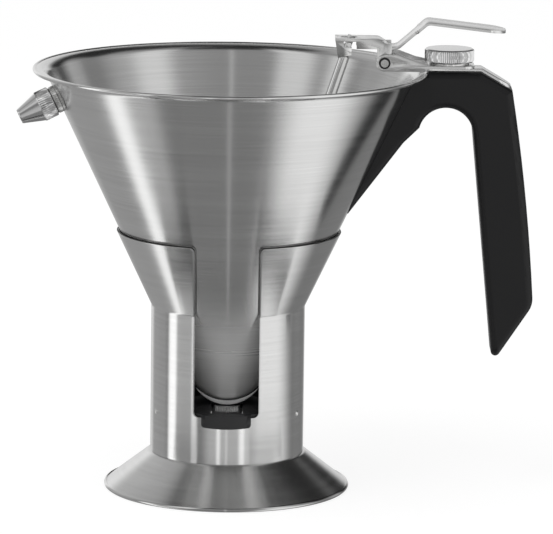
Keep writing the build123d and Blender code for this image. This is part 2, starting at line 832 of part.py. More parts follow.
save(return_spring, "return_spring")

# ==== Valve ====

# The rod leans from the plug over the outlet's seat up to its cross pin in the lever's hooks
rod_pin_x = pivot_x - hook_reach
rod_pin_z = pivot_z + pin_rise
plug_height = neck_top - seat_chamfer - neck_bore + sqrt(2) * (plug_radius + moving_gap)
rod_run = Vector(rod_pin_x, 0, rod_pin_z - plug_height)
rod_seat = Plane((0, 0, plug_height), x_dir=(rod_run.Z, 0, -rod_run.X), z_dir=rod_run)
neck_start = rod_run.length - rod_neck_length
rod_axis = Axis(rod_seat.origin, rod_seat.z_dir)
with BuildPart() as valve_rod:
    with BuildSketch(section(rod_seat)):
        with BuildLine():
            Polyline(
                (0, rod_foot),
                (rod_radius, rod_foot),
                (rod_radius, neck_start),
                (rod_neck_radius, neck_start + rod_radius - rod_neck_radius),
                (rod_neck_radius, rod_run.length + rod_over_pin),
                (0, rod_run.length + rod_over_pin),
                close=True,
            )
        make_face()
    revolve(axis=rod_axis)
    with BuildSketch(Plane.XZ.offset(-rod_radius)):
        with Locations((rod_pin_x, rod_pin_z)):
            Circle(rod_pin_radius + fixed_gap)
    extrude(amount=2 * rod_radius, mode=Mode.SUBTRACT)
save(valve_rod, "valve_rod")

# Round plug on the rod's foot that closes the outlet
with BuildPart() as valve_plug:
    with BuildSketch(section(rod_seat)):
        Circle(plug_radius)
        Rectangle(2 * plug_radius, 2 * plug_radius, align=(Align.MAX, Align.CENTER), mode=Mode.SUBTRACT)
        with Locations((0, rod_foot - fixed_gap)):
            Rectangle(rod_radius + fixed_gap, plug_radius, align=(Align.MIN, Align.MIN), mode=Mode.SUBTRACT)
    revolve(axis=rod_axis)
save(valve_plug, "valve_plug")

with BuildPart() as rod_cross_pin:
    with BuildSketch(Plane.XZ.offset(-rod_pin_length / 2)):
        with Locations((rod_pin_x, rod_pin_z)):
            Circle(rod_pin_radius)
    extrude(amount=rod_pin_length)
save(rod_cross_pin, "rod_cross_pin")

# ==== Knob ====

washer_low = bracket_top + washer_gap
with BuildPart() as knob_washer:
    with BuildSketch(Plane.XY.offset(washer_low)):
        with Locations((knob_x, 0)):
            Circle(washer_radius)
            Circle(knob_shank_radius + running_gap, mode=Mode.SUBTRACT)
    extrude(amount=washer_thickness)
save(knob_washer, "knob_washer")

# Knurled clamp knob with its threaded shank
knob_seat = Plane((knob_x, 0, washer_low + washer_thickness + washer_gap))
shank_end = handle_top - knob_shank_length - knob_seat.origin.Z
with BuildPart() as knob:
    with BuildSketch(section(knob_seat)):
        with BuildLine():
            Polyline(
                (0, shank_end),
                (knob_shank_radius, shank_end),
                (knob_shank_radius, 0),
                (knob_radius - knob_chamfer, 0),
                (knob_radius, knob_chamfer),
                (knob_radius, knob_height - knob_chamfer),
                (knob_radius - knob_chamfer, knob_height),
                (0, knob_height),
                close=True,
            )
        make_face()
    revolve(axis=Axis(knob_seat.origin, knob_seat.z_dir))
save(knob, "knob")
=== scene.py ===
import json
from math import acos, asin, cos, degrees, pi, radians, sin, tan

import bmesh
import bpy
from mathutils import Matrix, Vector


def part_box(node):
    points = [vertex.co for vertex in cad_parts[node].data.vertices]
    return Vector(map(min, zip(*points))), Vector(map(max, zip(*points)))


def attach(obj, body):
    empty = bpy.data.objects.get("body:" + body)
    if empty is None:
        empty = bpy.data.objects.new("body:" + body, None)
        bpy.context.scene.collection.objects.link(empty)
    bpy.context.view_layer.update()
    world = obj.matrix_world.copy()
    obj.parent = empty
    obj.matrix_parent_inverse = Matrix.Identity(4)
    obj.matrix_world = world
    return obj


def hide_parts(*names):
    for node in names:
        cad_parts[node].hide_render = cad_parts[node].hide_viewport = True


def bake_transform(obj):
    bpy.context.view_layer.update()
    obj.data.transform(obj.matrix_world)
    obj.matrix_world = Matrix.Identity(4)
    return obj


# A batter dispenser: a steel funnel with a thumb lever and a valve rod, standing in a flared
# steel sleeve on a spun foot. Lengths in the sections are millimetres; meshes are in metres.
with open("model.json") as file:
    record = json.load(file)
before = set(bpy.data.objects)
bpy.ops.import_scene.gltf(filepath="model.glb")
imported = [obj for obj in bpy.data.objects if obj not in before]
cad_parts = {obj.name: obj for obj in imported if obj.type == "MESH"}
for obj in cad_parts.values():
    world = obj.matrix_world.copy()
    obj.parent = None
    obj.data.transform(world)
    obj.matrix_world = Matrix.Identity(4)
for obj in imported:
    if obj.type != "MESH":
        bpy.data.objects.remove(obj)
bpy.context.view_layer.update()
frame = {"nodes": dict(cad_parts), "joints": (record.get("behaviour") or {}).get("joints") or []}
nodes = frame["nodes"]
joints = {joint["name"]: joint for joint in frame["joints"]}
scene = bpy.context.scene

# ==== Foot ====
# A shallow ring spun from stainless sheet, its outer edge rolled under into a flat hem and its
# top turned in beneath the sleeve. Brushed in the lathe, with the hem polished bright.


def span(name):
    """Lowest and highest corner of a CAD node, in millimetres."""
    low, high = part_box(name)
    return low * 1000, high * 1000


def arc(centre, radius, start, end, count):
    """Points of an arc in the (radius, height) plane, the angles in degrees up from outwards."""
    turn = [radians(start + (end - start) * i / count) for i in range(count + 1)]
    return [(centre[0] + radius * cos(a), centre[1] + radius * sin(a)) for a in turn]


def straight(start, end, count=6, margin=0.4):
    """Points of a straight stretch, with one close to each end so that the bends stay crisp."""
    start, end = Vector(start), Vector(end)
    run = (end - start).normalized() * margin
    first, last = start + run, end - run
    return [tuple(start)] + [tuple(first.lerp(last, i / count)) for i in range(count + 1)] + [tuple(end)]


def finished_mesh(name, bm, crease, slot, body, material, *replaced):
    """Make an object of a mesh in millimetres, smooth up to a crease angle, and fix it to its body.
    A piece that bends between two bodies is given none here."""
    bmesh.ops.remove_doubles(bm, verts=bm.verts, dist=1e-4)
    bmesh.ops.recalc_face_normals(bm, faces=bm.faces)
    bm.transform(Matrix.Scale(0.001, 4))
    mesh = bpy.data.meshes.new(name)
    bm.to_mesh(mesh)
    bm.free()
    mesh.shade_smooth()
    mesh.set_sharp_from_angle(angle=radians(crease))
    mesh.materials.append(material)
    piece = bpy.data.objects.new(name, mesh)
    scene.collection.objects.link(piece)
    if body:
        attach(piece, body)
    if replaced:
        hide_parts(*replaced)
    return piece


def turned(outline, steps, seat=None, tooth=0.0):
    """Sweep a closed outline of (radius, height) points round an axis. Points with a third value
    take that share of the tooth's depth, so that a band of the outline is knurled."""
    bm = bmesh.new()
    rings = []
    for radius, height, *share in outline:
        ring = []
        for i in range(steps):
            cut = share[0] * tooth * (0.0, 0.5, 1.0, 0.5)[i % 4] if share else 0.0
            a = 2 * pi * i / steps
            ring.append(bm.verts.new(((radius - cut) * cos(a), (radius - cut) * sin(a), height)))
        rings.append(ring)
    for lower, upper in zip(rings, rings[1:] + rings[:1]):
        for i in range(steps):
            j = (i + 1) % steps
            bm.faces.new((lower[i], lower[j], upper[j], upper[i]))
    if seat is not None:
        bm.transform(seat)
    return bm


def node(tree, kind, *inputs, **settings):
    """Add a node. Its inputs are given in order, or by name in pairs, as values or as sockets."""
    made = tree.nodes.new(kind)
    for key, value in settings.items():
        setattr(made, key, value)
    for place, value in enumerate(inputs):
        key, value = value if isinstance(value, tuple) and isinstance(value[0], str) else (place, value)
        if value is None:
            continue
        if isinstance(value, bpy.types.NodeSocket):
            tree.links.new(value, made.inputs[key])
        else:
            made.inputs[key].default_value = value
    return made


def maths(tree, operation, *inputs):
    """A math node's result."""
    return node(tree, "ShaderNodeMath", *inputs, operation=operation).outputs[0]


def effect(name, inputs, outputs):
    """Start a shader node group with named sockets, and return it with its two end nodes."""
    group = bpy.data.node_groups.new(name, "ShaderNodeTree")
    for label, kind, value in inputs:
        group.interface.new_socket(name=label, in_out="INPUT", socket_type=kind).default_value = value
    for label, kind in outputs:
        group.interface.new_socket(name=label, in_out="OUTPUT", socket_type=kind)
    return group, group.nodes.new("NodeGroupInput"), group.nodes.new("NodeGroupOutput")


def finish_outputs(group, given, made, mask, colour_mask, height):
    """Tint the colour and shift the roughness by masks around zero, and pass the height on."""
    tone = maths(group, "MULTIPLY_ADD", colour_mask, given.outputs["Contrast"], 1.0)
    shade = node(group, "ShaderNodeVectorMath", given.outputs["Colour"], operation="SCALE")
    group.links.new(tone, shade.inputs["Scale"])
    rough = maths(group, "MULTIPLY_ADD", mask, given.outputs["Roughness spread"], given.outputs["Roughness"])
    group.links.new(shade.outputs[0], made.inputs["Colour"])
    group.links.new(rough, made.inputs["Roughness"])
    group.links.new(height, made.inputs["Height"])


# Lathe brushing: fine rings round the upright axis, in the colour, the roughness and the height,
# with scattered lighter scratches; below a height the metal is polished
brushing, given, made = effect(
    "Lathe brushing",
    (
        ("Colour", "NodeSocketColor", (0.7, 0.7, 0.69, 1)),
        ("Line pitch", "NodeSocketFloat", 0.0005),
        ("Band pitch", "NodeSocketFloat", 0.006),
        ("Contrast", "NodeSocketFloat", 0.12),
        ("Roughness", "NodeSocketFloat", 0.25),
        ("Roughness spread", "NodeSocketFloat", 0.1),
        ("Polished below", "NodeSocketFloat", -1.0),
    ),
    (("Colour", "NodeSocketColor"), ("Roughness", "NodeSocketFloat"), ("Height", "NodeSocketFloat")),
)
place = node(brushing, "ShaderNodeTexCoord")
split = node(brushing, "ShaderNodeSeparateXYZ", place.outputs["Object"])
flat = node(brushing, "ShaderNodeCombineXYZ", split.outputs[0], split.outputs[1])
reach = node(brushing, "ShaderNodeVectorMath", flat.outputs[0], operation="LENGTH")
heading = node(brushing, "ShaderNodeVectorMath", flat.outputs[0], operation="NORMALIZE")
heading = node(brushing, "ShaderNodeSeparateXYZ", heading.outputs[0])
along = maths(brushing, "ADD", split.outputs[2], reach.outputs["Value"])
noises = []
for pitch, drift in (("Line pitch", 1.1), ("Band pitch", 0.5)):
    rise = maths(brushing, "DIVIDE", along, given.outputs[pitch])
    east = maths(brushing, "MULTIPLY", heading.outputs[0], drift)
    north = maths(brushing, "MULTIPLY", heading.outputs[1], drift)
    spot = node(brushing, "ShaderNodeCombineXYZ", east, north, rise)
    noises.append(
        node(brushing, "ShaderNodeTexNoise", ("Vector", spot.outputs[0]), ("Scale", 1.0), ("Detail", 2.0))
    )
lines, bands = (noise.outputs["Fac"] for noise in noises)
both = maths(brushing, "MULTIPLY_ADD", bands, 0.4, maths(brushing, "MULTIPLY", lines, 0.6))
grain_mask = maths(brushing, "SUBTRACT", both, 0.5)
brushed = maths(brushing, "GREATER_THAN", split.outputs[2], given.outputs["Polished below"])
keep = maths(brushing, "MULTIPLY", grain_mask, brushed)
polish = maths(brushing, "MULTIPLY", maths(brushing, "SUBTRACT", 1.0, brushed), -1.2)
finish_outputs(
    brushing,
    given,
    made,
    maths(brushing, "ADD", keep, polish),
    keep,
    maths(brushing, "MULTIPLY", lines, brushed),
)


def finish_material(name, group, settings, depth, **constants):
    """A material whose colour, roughness and relief come from an effect group."""
    material = bpy.data.materials.new(name)
    material.use_nodes = True
    tree = material.node_tree
    shader = tree.nodes["Principled BSDF"]
    for label, value in constants.items():
        shader.inputs[label.replace("_", " ")].default_value = value
    look = tree.nodes.new("ShaderNodeGroup")
    look.node_tree = group
    for label, value in settings.items():
        look.inputs[label].default_value = value
    relief = node(tree, "ShaderNodeBump", ("Distance", depth), ("Height", look.outputs["Height"]))
    tree.links.new(look.outputs["Colour"], shader.inputs["Base Color"])
    tree.links.new(look.outputs["Roughness"], shader.inputs["Roughness"])
    tree.links.new(relief.outputs[0], shader.inputs["Normal"])
    return material


def lathe_brushed(name, settings, depth, **constants):
    """Steel brushed in the lathe: the highlights stretch across the rings."""
    material = finish_material(
        name, brushing, settings, depth, Metallic=1.0, Anisotropic_Rotation=0.25, **constants
    )
    tree = material.node_tree
    grooves = node(tree, "ShaderNodeTangent", direction_type="RADIAL", axis="Z")
    tree.links.new(grooves.outputs[0], tree.nodes["Principled BSDF"].inputs["Tangent"])
    return material


foot_steel = lathe_brushed(
    "foot steel",
    {"Colour": (0.74, 0.74, 0.735, 1), "Roughness": 0.22, "Contrast": 0.35, "Polished below": 0.0021},
    0.00001,
    Anisotropic=0.85,
)
foot_edge, foot_top = span("stand_foot")[1].x, span("stand_foot")[1].z
foot_wall, hem, foot_facets, sheet_crease = 1.0, 2.2, 256, 40
sleeve_out, sleeve_wall = 37.5, 1.0
shoulder, foot_lip = sleeve_out + 0.9, sleeve_out - 4.0
top_bend, flare_start = (shoulder - 0.4, foot_top - 0.12), (shoulder + 0.3, foot_top - 0.5)
hem_start = (foot_edge - hem / 2 - 0.2, hem / 2 + 0.75)
# the hem's round, as distances in from the edge and heights: under, flat on the table, and in
hem_round = [(0.95, 2.15), (0.35, 1.85), (0, 1.1), (0.2, 0.45)]
hem_round += [(0.7, 0.02), (1.5, 0), (2.0, 0.3), (hem, 0.9)]
foot_outline = (
    [(foot_lip, foot_top - foot_wall), (foot_lip, foot_top), (shoulder - 1.2, foot_top), top_bend]
    + straight(flare_start, hem_start)
    + [(foot_edge - inward, height) for inward, height in hem_round]
    + [(shoulder - 0.2, foot_top - foot_wall - 0.6), (shoulder - 1.0, foot_top - foot_wall)]
)
foot = turned(foot_outline, foot_facets)
finished_mesh("spun_foot", foot, sheet_crease, "brushed_steel", "stand", foot_steel, "stand_foot")

# ==== Sleeve ====
# A drawn stainless tube that opens into a conical collar. Its front slot runs down from the
# collar's edge, with rounded corners, and shows the outlet. Brushed outside, left dull inside;
# its cut edges and the collar's inside are darkened with painted shade.
sleeve_steel = lathe_brushed(
    "sleeve steel",
    {"Colour": (0.78, 0.78, 0.775, 1), "Line pitch": 0.0009, "Roughness": 0.19, "Contrast": 0.28},
    0.000006,
    Anisotropic=0.85,
)
dull_steel = finish_material(
    "sleeve inside",
    brushing,
    {"Colour": (0.84, 0.84, 0.835, 1), "Roughness": 0.5, "Contrast": 0.1},
    0.00001,
    Metallic=0.15,
)
# The sheet's cut edges are painted near black: painted shade along the edges
shaded_cut_edge = finish_material(
    "sleeve cut edge shade",
    brushing,
    {"Colour": (0.05, 0.05, 0.05, 1), "Roughness": 0.5},
    0.00001,
    Metallic=0.4,
)
# The collar's inside is painted dark grey: painted shade in the narrow gap between the bowl and the collar
collar_inside_shade = finish_material(
    "collar inside shade",
    brushing,
    {"Colour": (0.26, 0.26, 0.258, 1), "Roughness": 0.45, "Contrast": 0.1},
    0.00001,
    Metallic=0.6,
)
# places of the sleeve's finishes and painted shades in its list, after the brushed outside
tube_face, shaded_edge_face, shaded_collar_face = 1, 2, 3
half_angle = radians(25.2)
cut_low, cut_half, low_corner, top_corner = 41.0, 15.6, 2.5, 3.0
collar_top = span("stand_sleeve")[1].z
bend_in = 90.6
bend_out = bend_in - sleeve_wall * tan(half_angle / 2)


def cut_at(height):
    """Half width of the front slot at a height."""
    if height < cut_low + low_corner:
        fall = (cut_low + low_corner - height) / low_corner
        return cut_half - low_corner * (1 - (1 - min(fall, 1.0) ** 2) ** 0.5)
    if height > collar_top - top_corner:
        rise = (height - collar_top + top_corner) / top_corner
        return cut_half + top_corner * (1 - (1 - min(rise, 1.0) ** 2) ** 0.5)
    return cut_half


def sleeve_rows():
    """Pairs of (radius, height), outside and inside, from the foot up to the collar's edge, close
    together at the slot's corners and at the bend."""
    bend, bend_swell = 0.7, 0.04
    low = [foot_top + 0.3 * i for i in range(3)] + [22, 26, 30, 34, 37, 39.5, 40.6]
    low += [cut_low + low_corner * (1 - cos(radians(15 * i))) for i in range(7)]
    low += [46, 50, 56, 62, 68, 74, 80, 86]
    rows = [((sleeve_out, z), (sleeve_out - sleeve_wall, z)) for z in low]
    lean = Vector((sin(half_angle), cos(half_angle)))
    out_start, in_start = Vector((sleeve_out, bend_out)), Vector((sleeve_out - sleeve_wall, bend_in))
    for share in (-1.0, -0.5):
        drop = Vector((0, share * bend))
        rows.append((tuple(out_start + drop), tuple(in_start + drop)))
    flank = (collar_top - bend_in) / cos(half_angle)
    corner = top_corner / cos(half_angle)
    reaches = [bend * 0.5, bend] + [flank * i / 10 for i in range(1, 9)]
    reaches += [flank - corner * (1 - sin(radians(15 * i))) for i in range(7)]
    swollen = sleeve_out + bend_swell
    rows.append(((swollen, bend_out), (swollen - sleeve_wall, bend_in)))
    rows += [(tuple(out_start + lean * reach), tuple(in_start + lean * reach)) for reach in reaches]
    return rows


def slotted_sleeve(columns, front):
    """The sleeve as two skins closed along their edges, with the slot left open in front."""
    bm = bmesh.new()
    rows = sleeve_rows()
    skins = []
    for side in (0, 1):
        grid = []
        for row in rows:
            radius, height = row[side]
            start = cut_at(max(row[0][1], cut_low)) / radius
            gap = asin(min(start, 1.0))
            turns = [gap + (2 * pi - 2 * gap) * i / columns for i in range(columns + 1)]
            if row[0][1] <= cut_low:
                turns += [2 * pi - gap + 2 * gap * i / front for i in range(1, front)]
            grid.append([bm.verts.new((radius * sin(a), -radius * cos(a), height)) for a in turns])
        skins.append(grid)
    for side, grid in enumerate(skins):
        for lower, upper in zip(grid, grid[1:]):
            closed = len(upper) > columns + 1
            # the collar's inner faces take the painted shade
            inside = shaded_collar_face if lower[0].co.z > bend_in - 0.2 else tube_face
            for i in range(columns + front if closed else columns):
                j = (i + 1) % (columns + front)
                face = bm.faces.new((lower[i], lower[j], upper[j], upper[i]))
                face.material_index = inside if side else 0
    outer, inner = skins

    def rim(a, b):
        """Close the two skins along a line of their points."""
        for i in range(len(a) - 1):
            # the edge faces take the painted shade
            bm.faces.new((a[i], a[i + 1], b[i + 1], b[i])).material_index = shaded_edge_face

    # the highest row that still runs all the way round
    last = sum(row[0][1] <= cut_low for row in rows) - 1
    rim(outer[0] + outer[0][:1], inner[0] + inner[0][:1])
    rim(outer[-1], inner[-1])
    rim(outer[last][columns:] + outer[last][:1], inner[last][columns:] + inner[last][:1])
    for column in (0, columns):
        rim([grid[column] for grid in outer[last:]], [grid[column] for grid in inner[last:]])
    bmesh.ops.recalc_face_normals(bm, faces=bm.faces)
    return bm


def break_edges(bm, width, crease):
    """Ease the edges that are sharper than a crease angle."""
    sharp = [e for e in bm.edges if len(e.link_faces) == 2 and e.calc_face_angle(0) > radians(crease)]
    bmesh.ops.bevel(
        bm, geom=sharp, offset=width, segments=2, profile=0.5, affect="EDGES", clamp_overlap=True
    )


sleeve = slotted_sleeve(columns=240, front=24)
break_edges(sleeve, width=0.18, crease=60)
sleeve = finished_mesh(
    "sleeve", sleeve, sheet_crease, "brushed_steel", "stand", sleeve_steel, "stand_sleeve"
)
for finish in (dull_steel, shaded_cut_edge, collar_inside_shade):
    sleeve.data.materials.append(finish)

# ==== Seat insert ====
# A black plastic moulding in the sleeve, with a cradle and a lip that carry the funnel's round
# bottom and a tongue hooked over the slot's lower edge. Two dome-headed screws hold it.

# Moulded grain: a fine grain in the colour and the height, and rubbed patches in the roughness
moulding, given, made = effect(
    "Moulded grain",
    (
        ("Colour", "NodeSocketColor", (0.012, 0.012, 0.013, 1)),
        ("Grain", "NodeSocketFloat", 0.0004),
        ("Contrast", "NodeSocketFloat", 0.5),
        ("Roughness", "NodeSocketFloat", 0.42),
        ("Roughness spread", "NodeSocketFloat", 0.15),
    ),
    (("Colour", "NodeSocketColor"), ("Roughness", "NodeSocketFloat"), ("Height", "NodeSocketFloat")),
)
place = node(moulding, "ShaderNodeTexCoord")
fine = maths(moulding, "DIVIDE", 1.0, given.outputs["Grain"])
grain = node(
    moulding, "ShaderNodeTexNoise", ("Vector", place.outputs["Object"]), ("Scale", fine), ("Detail", 3.0)
)
rubbed = node(
    moulding, "ShaderNodeTexNoise", ("Vector", place.outputs["Object"]), ("Scale", 60.0), ("Detail", 4.0)
)
off = maths(moulding, "SUBTRACT", grain.outputs["Fac"], 0.5)
worn = maths(moulding, "SUBTRACT", rubbed.outputs["Fac"], 0.5)
finish_outputs(moulding, given, made, maths(moulding, "ADD", off, worn), off, grain.outputs["Fac"])
black_plastic = finish_material("black plastic", moulding, {}, 0.00002, IOR=1.5)
# Pale plastic for the lip's front face: a painted highlight on the black moulding
lip_highlight_plastic = finish_material(
    "lip highlight plastic",
    moulding,
    {"Colour": (0.6, 0.6, 0.6, 1), "Contrast": 0.2, "Roughness": 0.3},
    0.00001,
    IOR=1.5,
)

# Tumbled metal: small parts rolled bright in a drum, with soft clouds and fine dents
tumbling, given, made = effect(
    "Tumbled metal",
    (
        ("Colour", "NodeSocketColor", (0.75, 0.75, 0.74, 1)),
        ("Mark size", "NodeSocketFloat", 0.004),
        ("Contrast", "NodeSocketFloat", 0.08),
        ("Roughness", "NodeSocketFloat", 0.2),
        ("Roughness spread", "NodeSocketFloat", 0.12),
    ),
    (("Colour", "NodeSocketColor"), ("Roughness", "NodeSocketFloat"), ("Height", "NodeSocketFloat")),
)
place = node(tumbling, "ShaderNodeTexCoord")
fine = maths(tumbling, "DIVIDE", 1.0, given.outputs["Mark size"])
cloud = node(
    tumbling, "ShaderNodeTexNoise", ("Vector", place.outputs["Object"]), ("Scale", fine), ("Detail", 5.0)
)
off = maths(tumbling, "SUBTRACT", cloud.outputs["Fac"], 0.5)
finish_outputs(tumbling, given, made, off, off, cloud.outputs["Fac"])
bright_steel = finish_material("bright steel", tumbling, {}, 0.000004, Metallic=1.0)


def copied(source):
    """A CAD node's mesh in millimetres, its flat faces joined."""
    bm = bmesh.new()
    bm.from_mesh(nodes[source].data)
    bm.transform(Matrix.Scale(1000, 4))
    bmesh.ops.remove_doubles(bm, verts=bm.verts, dist=1e-3)
    bmesh.ops.dissolve_limit(bm, angle_limit=radians(0.5), verts=bm.verts, edges=bm.edges)
    return bm


insert = copied("seat_insert")
bmesh.ops.triangulate(insert, faces=insert.faces)
# the lip's front face is painted pale: a painted highlight
lip_front, lip_low, small_crease = -13.2, 42.8, 35
for face in insert.faces:
    middle = face.calc_center_median()
    face.material_index = 1 if abs(middle.y - lip_front) < 0.1 and middle.z > lip_low else 0
insert = finished_mesh(
    "insert", insert, small_crease, "black_plastic", "stand", black_plastic, "seat_insert"
)
insert.data.materials.append(lip_highlight_plastic)

screw_angle, screw_height, screw_facets = radians(66), 39.3, 48
head_radius, head_height, screw_length, shank, head_low = 1.45, 0.8, 5.0, 0.9, 0.05
dome = (head_radius**2 + head_height**2) / (2 * head_height)
dome_edge = degrees(acos(head_radius / dome))
screw_outline = (
    [(0, -screw_length), (shank, -screw_length), (shank, head_low)]
    + arc((0, head_height - dome), dome, dome_edge, 90, count=8)
)
screws = bmesh.new()
for side in (-1, 1):
    out = Vector((sin(side * screw_angle), -cos(side * screw_angle), 0))
    seat = Matrix.Translation(out * sleeve_out + Vector((0, 0, screw_height)))
    one = turned(screw_outline, screw_facets, seat @ out.to_track_quat("Z", "Y").to_matrix().to_4x4())
    screw_mesh = bpy.data.meshes.new("screw")
    one.to_mesh(screw_mesh)
    one.free()
    screws.from_mesh(screw_mesh)
finished_mesh(
    "domed_screws", screws, small_crease, "bright_steel", "stand", bright_steel, "insert_screws"
)

# ==== Bowl ====
# A deep cone spun from stainless sheet with a round bottom. Its lip is flared and rolled over
# into a bead; inside and outside are brushed in the lathe.
bowl_steel = lathe_brushed(
    "bowl steel",
    {"Colour": (0.78, 0.78, 0.775, 1), "Line pitch": 0.0009, "Roughness": 0.19, "Contrast": 0.32},
    0.000008,
    Anisotropic=0.85,
)
# Its bottom, down in the sleeve, is rougher and less like a mirror, and darker in colour as painted shade,
# between two heights in metres
shade_and_dull_low, shade_and_dull_high = 0.048, 0.11
painted_shade, roughening, dulling = -0.4, 0.12, -0.75
tree = bowl_steel.node_tree
shader = tree.nodes["Principled BSDF"]
place = node(tree, "ShaderNodeTexCoord")
split = node(tree, "ShaderNodeSeparateXYZ", place.outputs["Object"])
shade_and_dull = node(
    tree,
    "ShaderNodeMapRange",
    split.outputs[2],
    ("From Min", shade_and_dull_low),
    ("From Max", shade_and_dull_high),
    ("To Min", 1.0),
    ("To Max", 0.0),
    interpolation_type="SMOOTHSTEP",
).outputs[0]
polish = shader.inputs["Roughness"].links[0].from_socket
bare = shader.inputs["Base Color"].links[0].from_socket
shaded_bare = node(tree, "ShaderNodeVectorMath", bare, operation="SCALE")
# the darker colour is painted shade; the roughness and metal changes are the finish
tree.links.new(maths(tree, "MULTIPLY_ADD", shade_and_dull, painted_shade, 1.0), shaded_bare.inputs["Scale"])
tree.links.new(shaded_bare.outputs[0], shader.inputs["Base Color"])
tree.links.new(maths(tree, "MULTIPLY_ADD", shade_and_dull, roughening, polish), shader.inputs["Roughness"])
tree.links.new(maths(tree, "MULTIPLY_ADD", shade_and_dull, dulling, 1.0), shader.inputs["Metallic"])

rim, bowl_facets = span("funnel_bowl")[1].x, 288
bowl_wall, rim_bead, lip_width, lip_bend = 0.9, 0.9, 7.2, 5.0
ball, bowl_bottom, hole = 20.0, 41.1, 5.05
ball_middle = (0.0, bowl_bottom + ball)
cone_foot = ball / cos(half_angle)
cone_top = ball_middle[1] + (rim - lip_width - cone_foot) / tan(half_angle)
bend_middle = (rim - lip_width + lip_bend * cos(half_angle), cone_top - lip_bend * sin(half_angle))
bead_middle = (rim - rim_bead, bend_middle[1] + lip_bend + bowl_wall / 2)
slope = degrees(half_angle)
under = arc(ball_middle, ball, -degrees(acos(hole / ball)), -slope, count=24)
over = arc(ball_middle, ball - bowl_wall, -slope, -degrees(acos(hole / (ball - bowl_wall))), count=24)
flare = arc(bend_middle, lip_bend, 180 - slope, 90, count=12)
inner_flare = arc(bend_middle, lip_bend + bowl_wall, 90, 180 - slope, count=12)
# up the outside from the outlet's hole, round the bead, and down the inside
bowl_outline = (
    under[:-1]
    + straight(under[-1], flare[0], count=14, margin=0.3)
    + flare[1:]
    + arc(bead_middle, rim_bead, -150, 150, count=18)
    + inner_flare[:-1]
    + straight(inner_flare[-1], over[0], count=14, margin=0.3)
    + over[1:]
)
bowl = turned(bowl_outline, bowl_facets)
finished_mesh("funnel", bowl, sheet_crease, "brushed_steel", "funnel", bowl_steel, "funnel_bowl")


def dress(material, *names):
    """Give CAD nodes their finish."""
    for name in names:
        nodes[name].data.materials.clear()
        nodes[name].data.materials.append(material)


# ==== Outlet and nozzles ====
# A turned neck welded in the bowl's bottom, a stud on the cone and two alike screw-on nozzles,
# all turned from steel bar with straight knurls. Each nozzle closes on a rubber ring.
chrome = finish_material(
    "turned steel",
    tumbling,
    {"Colour": (0.8, 0.8, 0.8, 1), "Roughness": 0.14, "Roughness spread": 0.06},
    0.000001,
    Metallic=1.0,
)
seal_rubber = finish_material(
    "seal rubber", moulding, {"Colour": (0.02, 0.02, 0.02, 1), "Roughness": 0.7}, 0.00003
)
dress(bright_steel, "outlet_neck")
dress(seal_rubber, "fitted_seal", "spare_seal")

neck, seal, stud_length, thread_reach = 5.0, 0.5, 2.3, 6.2
knurl_tooth, knurl_facets, knurl_crease = 0.45, 176, 38
nozzle, nozzle_cone, nozzle_tip, tip_bore = 7.4, 7.1, 3.55, 2.5
knurl_length, cone_length, chamfer, tip_chamfer = 6.9, 10.8, 0.4, 0.4
thread_bore, thread_end = neck + 0.06, 6.4
ridge, nozzle_length = (knurl_length - chamfer / 2) / 2, knurl_length + cone_length
# from the threaded end up the knurl and the cone to the tip, and back down the bore
nozzle_outline = (
    [(thread_bore, 0), (nozzle - chamfer, 0), (nozzle, chamfer, 0.35), (nozzle, chamfer + 0.25, 1)]
    + [(nozzle, ridge, 1), (nozzle, knurl_length - 0.45, 1), (nozzle - 0.02, knurl_length - 0.2, 0.4)]
    + straight((nozzle_cone, knurl_length), (nozzle_tip + 0.15, nozzle_length - tip_chamfer), 4, 0.2)
    + [(nozzle_tip - 0.1, nozzle_length), (tip_bore, nozzle_length)]
    + [(tip_bore, thread_end + neck - tip_bore), (thread_bore, thread_end)]
)
for name, start in (("fitted", 0.0), ("spare", stud_length)):
    joint = joints[name + "_nozzle_turn"]
    out = Vector(joint["axis"])
    foot = Vector(joint["pos_m"]) * 1000 + out * (start + seal)
    seat = Matrix.Translation(foot) @ out.to_track_quat("Z", "Y").to_matrix().to_4x4()
    finished_mesh(
        name + "_nozzle_turned",
        turned(nozzle_outline, knurl_facets, seat, knurl_tooth),
        knurl_crease,
        "chromed",
        name + "_nozzle",
        chrome,
        name + "_nozzle",
    )

# the stud's knurled foot follows the cone; its thread is under the spare nozzle
stud = joints["spare_nozzle_turn"]
out = Vector(stud["axis"])
seat = Matrix.Translation(Vector(stud["pos_m"]) * 1000) @ out.to_track_quat("Z", "Y").to_matrix().to_4x4()
stud_radius, stud_root, stud_facets = 6.75, -3.0, 160
stud_end = stud_length + seal + thread_reach
stud_outline = (
    [(0, stud_root), (stud_radius - 0.2, stud_root), (stud_radius, stud_root + 0.1, 1), (stud_radius, 0, 1)]
    + [(stud_radius, stud_length - 0.5, 1), (stud_radius - 0.05, stud_length - 0.3, 0.4)]
    + [(stud_radius - 0.35, stud_length), (neck, stud_length), (neck, stud_end), (0, stud_end)]
)
bm = turned(stud_outline, stud_facets, seat, knurl_tooth)
# points inside the cone move out along the stud until they lie just within its skin
bite, passes = 0.1, 12
for vert in bm.verts:
    for _ in range(passes):
        skin = cone_foot + (vert.co.z - ball_middle[1]) * tan(half_angle) - bite
        depth = skin - Vector((vert.co.x, vert.co.y)).length
        if depth < 1e-4:
            break
        vert.co += out * depth
finished_mesh("knurled_stud", bm, knurl_crease, "bright_steel", "funnel", bright_steel, "nozzle_stud")

